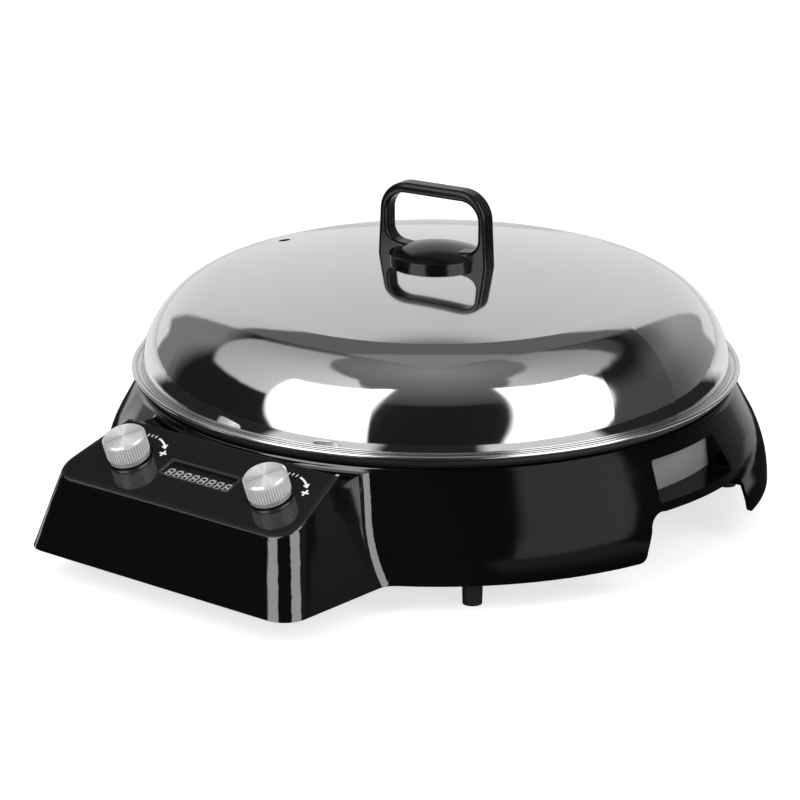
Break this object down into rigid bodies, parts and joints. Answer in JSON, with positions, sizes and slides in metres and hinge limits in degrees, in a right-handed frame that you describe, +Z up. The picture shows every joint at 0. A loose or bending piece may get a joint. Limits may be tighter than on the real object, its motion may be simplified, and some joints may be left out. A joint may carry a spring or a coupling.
{
  "type": "electric injera maker",
  "caption": "Round electric griddle in a flared housing with a sloped console, two rotary knobs, a numeric display, side grips and a hinged domed metal lid with a loop handle.",
  "frame": {"origin": "middle of the outline on the floor, under the feet; the drum's axis stands 33 mm behind it", "axes": "+Z up, +X to the object's right, the console at -Y and the lid's hinge at +Y"},
  "size_m": [0.4842, 0.5607, 0.2405],
  "materials": {
    "housing": "polished",
    "panel": "polished",
    "cover": "matte",
    "feet": "matte",
    "screws": "satin",
    "seal": "matte",
    "plate": "coated",
    "element": "oxidised",
    "sheet_steel": "satin",
    "insulation": "fibrous",
    "lens": "clear",
    "electronics": "matte",
    "contacts": "bright",
    "boards": "satin",
    "heat_sink": "anodised",
    "inlet": "matte",
    "leads": "matte",
    "hinge_steel": "satin",
    "lid_metal": "mirror polished",
    "handle": "satin",
    "knobs": "spun",
    "inserts": "matte",
    "shafts": "satin"
  },
  "bodies": {
    "base": {"base_shell": "housing", "control_panel": "panel", "bottom_cover": "cover", "foot_front_left": "feet", "foot_front_right": "feet", "foot_rear_left": "feet", "foot_rear_right": "feet", "foot_screws": "screws", "seat_ring": "seal", "cooking_plate": "plate", "heating_element_outer": "element", "heating_element_inner": "element", "element_clamps": "sheet_steel", "clamp_screws": "screws", "heat_pan": "sheet_steel", "insulation_pad": "insulation", "pan_screws": "screws", "temperature_sensor": "sheet_steel", "sensor_nut": "screws", "thermal_fuse": "sheet_steel", "display_lens": "lens", "display_module": "electronics", "display_pins": "contacts", "control_board": "boards", "board_screws": "screws", "control_chip": "electronics", "time_encoder": "electronics", "temperature_encoder": "electronics", "power_board": "boards", "board_standoffs": "contacts", "power_board_screws": "screws", "relay": "electronics", "heat_sink": "heat_sink", "power_switch_device": "electronics", "transformer": "electronics", "terminal_block": "electronics", "mains_inlet": "inlet", "inlet_pins": "contacts", "inlet_screws": "screws", "supply_leads": "leads", "element_leads": "leads", "element_jumpers": "leads", "hinge_pin": "hinge_steel", "hinge_pin_clip": "hinge_steel"},
    "lid": {"lid_dome": "lid_metal", "lid_handle": "handle", "handle_screw": "screws", "handle_washer": "screws", "lid_hinge_bracket": "hinge_steel", "bracket_rivets": "screws"},
    "time_control": {"time_knob": "knobs", "time_insert": "inserts", "time_shaft": "shafts"},
    "temperature_control": {"temperature_knob": "knobs", "temperature_insert": "inserts", "temperature_shaft": "shafts"}
  },
  "joints": [
    {"name": "lid_hinge", "type": "hinge", "parent": "base", "child": "lid", "pos_m": [0, 0.2695, 0.1122], "axis": [-1, 0, 0], "range_deg": [0, 85]},
    {"name": "time_knob_turn", "type": "hinge", "parent": "base", "child": "time_control", "pos_m": [-0.0651, -0.22995, 0.08764], "axis": [0, -0.3486, 0.9373], "continuous": true},
    {"name": "temperature_knob_turn", "type": "hinge", "parent": "base", "child": "temperature_control", "pos_m": [0.0651, -0.22995, 0.08764], "axis": [0, -0.3486, 0.9373], "continuous": true}
  ]
}
